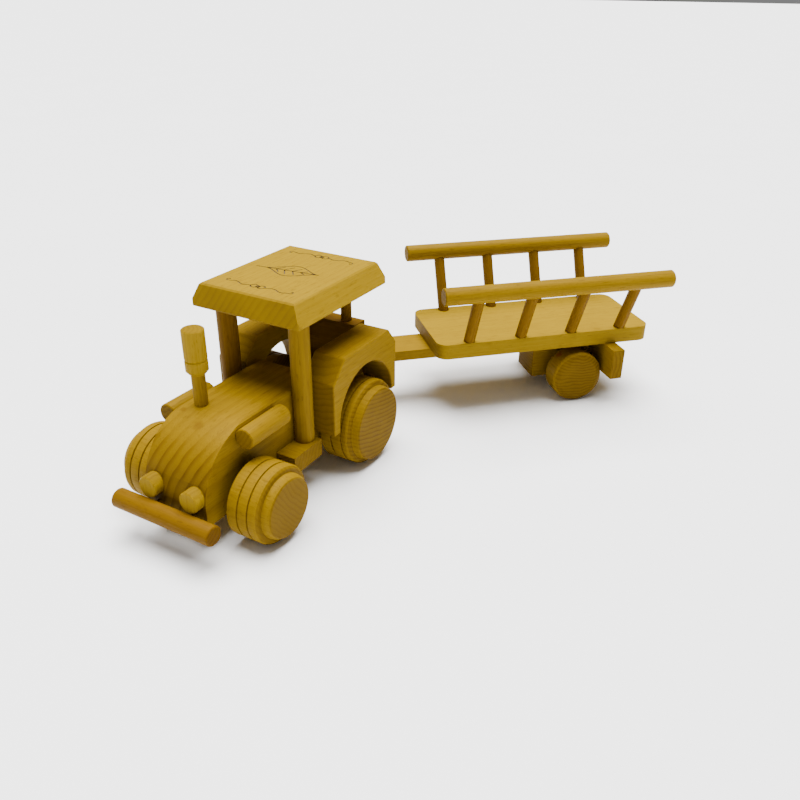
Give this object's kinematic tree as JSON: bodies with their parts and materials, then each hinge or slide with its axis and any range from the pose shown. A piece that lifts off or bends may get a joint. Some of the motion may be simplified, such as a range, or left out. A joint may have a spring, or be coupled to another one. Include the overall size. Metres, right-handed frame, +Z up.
{
  "type": "toy tractor with trailer",
  "caption": "Wooden toy tractor with roofed cab, dowel exhaust and lamps, arched mudguards and grooved wheels, hitched to a flat trailer with splayed stakes and side rails.",
  "frame": {"origin": "middle of the footprint's bounding box on the ground plane, with the trailer turned as stored", "axes": "+Z up; the tractor faces -Y and its left side is +X; the trailer stands behind it, turned 45.8 degrees towards +X"},
  "size_m": [0.2388, 0.3896, 0.1225],
  "materials": {
    "beech": "satin",
    "beech_pale": "satin",
    "beech_dowel": "satin"
  },
  "bodies": {
    "tractor": {"engine_hood": "beech", "chassis_block": "beech", "running_board": "beech", "front_bumper": "beech", "bumper_pegs": "beech", "headlight_left": "beech_pale", "headlight_right": "beech_pale", "flank_dowel_left": "beech", "flank_dowel_right": "beech", "exhaust_stem": "beech", "exhaust_muffler": "beech_pale", "fender_left": "beech", "fender_right": "beech", "rear_wall": "beech_dowel", "post_front_left": "beech", "post_front_right": "beech", "post_rear_left": "beech_dowel", "post_rear_right": "beech_dowel", "roof": "beech_pale", "tow_bar": "beech", "hitch_peg": "beech_pale"},
    "front_wheels": {"front_axle": "beech_dowel", "front_wheel_left": "beech", "front_wheel_right": "beech"},
    "rear_wheels": {"rear_axle": "beech_dowel", "rear_wheel_left": "beech", "rear_wheel_right": "beech"},
    "trailer": {"drawbar": "beech_pale", "load_bed": "beech_pale", "under_beam": "beech_dowel", "rear_crossbar": "beech", "rail_left": "beech", "rail_right": "beech", "stake_left_1": "beech_dowel", "stake_left_2": "beech_dowel", "stake_left_3": "beech_dowel", "stake_left_4": "beech_dowel", "stake_right_1": "beech_dowel", "stake_right_2": "beech_dowel", "stake_right_3": "beech_dowel", "stake_right_4": "beech_dowel"},
    "trailer_wheels": {"trailer_axle_rod": "beech_dowel", "trailer_wheel_left": "beech", "trailer_wheel_right": "beech"}
  },
  "joints": [
    {"name": "front_axle_spin", "type": "hinge", "parent": "tractor", "child": "front_wheels", "pos_m": [-0.06618, -0.15092, 0.0226], "axis": [1, 0, 0], "continuous": true},
    {"name": "rear_axle_spin", "type": "hinge", "parent": "tractor", "child": "rear_wheels", "pos_m": [-0.06618, -0.05622, 0.0274], "axis": [1, 0, 0], "continuous": true},
    {"name": "hitch_turn", "type": "hinge", "parent": "tractor", "child": "trailer", "pos_m": [-0.06618, 0.01228, 0.0386], "axis": [0, 0, 1], "range_deg": [-29, 120]},
    {"name": "trailer_axle_spin", "type": "hinge", "parent": "trailer", "child": "trailer_wheels", "pos_m": [0.04099, 0.11651, 0.0187], "axis": [0.6972, -0.7169, 0], "continuous": true}
  ]
}
